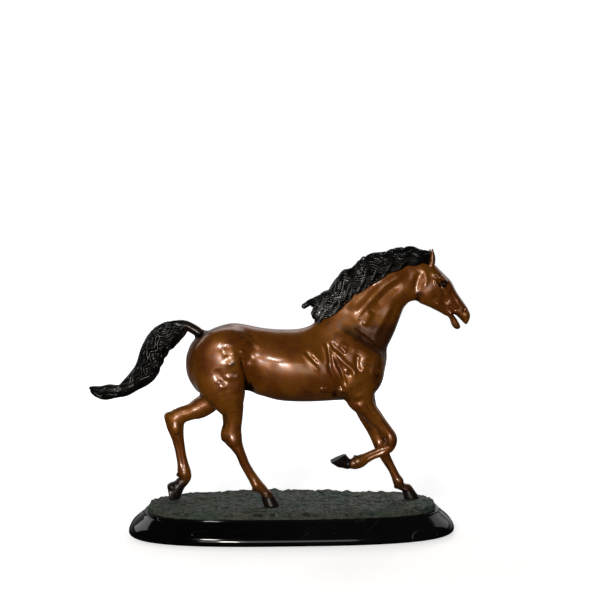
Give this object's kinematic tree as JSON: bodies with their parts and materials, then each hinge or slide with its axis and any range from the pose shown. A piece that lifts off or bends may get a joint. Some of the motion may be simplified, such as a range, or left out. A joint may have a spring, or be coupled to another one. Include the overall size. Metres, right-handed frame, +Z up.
{
  "type": "horse statue",
  "caption": "Bronze statue of a walking horse with windblown mane and tail, standing on a rough patinated ground casting and an oval black marble base.",
  "frame": {"origin": "middle of the underside of the felt sheet, which is the face the statue rests on", "axes": "+X towards the horse's head, -Y towards the horse's right side, +Z up"},
  "size_m": [0.4829, 0.1586, 0.3644],
  "materials": {
    "brown_bronze": "polished cast bronze with a warm brown patina",
    "dark_bronze": "cast bronze with a near-black patina",
    "green_patina": "rough cast bronze with a dull green patina",
    "black_marble": "polished black marble with fine pale veins",
    "black_felt": "pressed felt",
    "plain_steel": "plain machined steel"
  },
  "bodies": {
    "root": {"base_bolt_1": "plain_steel", "base_bolt_2": "plain_steel", "base_bolt_3": "plain_steel", "base_bolt_4": "plain_steel", "base_washer_1": "plain_steel", "base_washer_2": "plain_steel", "base_washer_3": "plain_steel", "base_washer_4": "plain_steel", "felt_sheet": "black_felt", "ground_plate": "green_patina", "left_fore_leg": "brown_bronze", "left_fore_nut": "plain_steel", "left_fore_stud": "plain_steel", "left_fore_washer": "plain_steel", "left_hind_leg": "brown_bronze", "left_hind_nut": "plain_steel", "left_hind_stud": "plain_steel", "left_hind_washer": "plain_steel", "mane": "dark_bronze", "marble_base": "black_marble", "neck_and_head": "brown_bronze", "right_fore_leg": "brown_bronze", "right_hind_leg": "brown_bronze", "right_hind_nut": "plain_steel", "right_hind_stud": "plain_steel", "right_hind_washer": "plain_steel", "tail": "dark_bronze", "torso": "brown_bronze"}
  },
  "joints": []
}
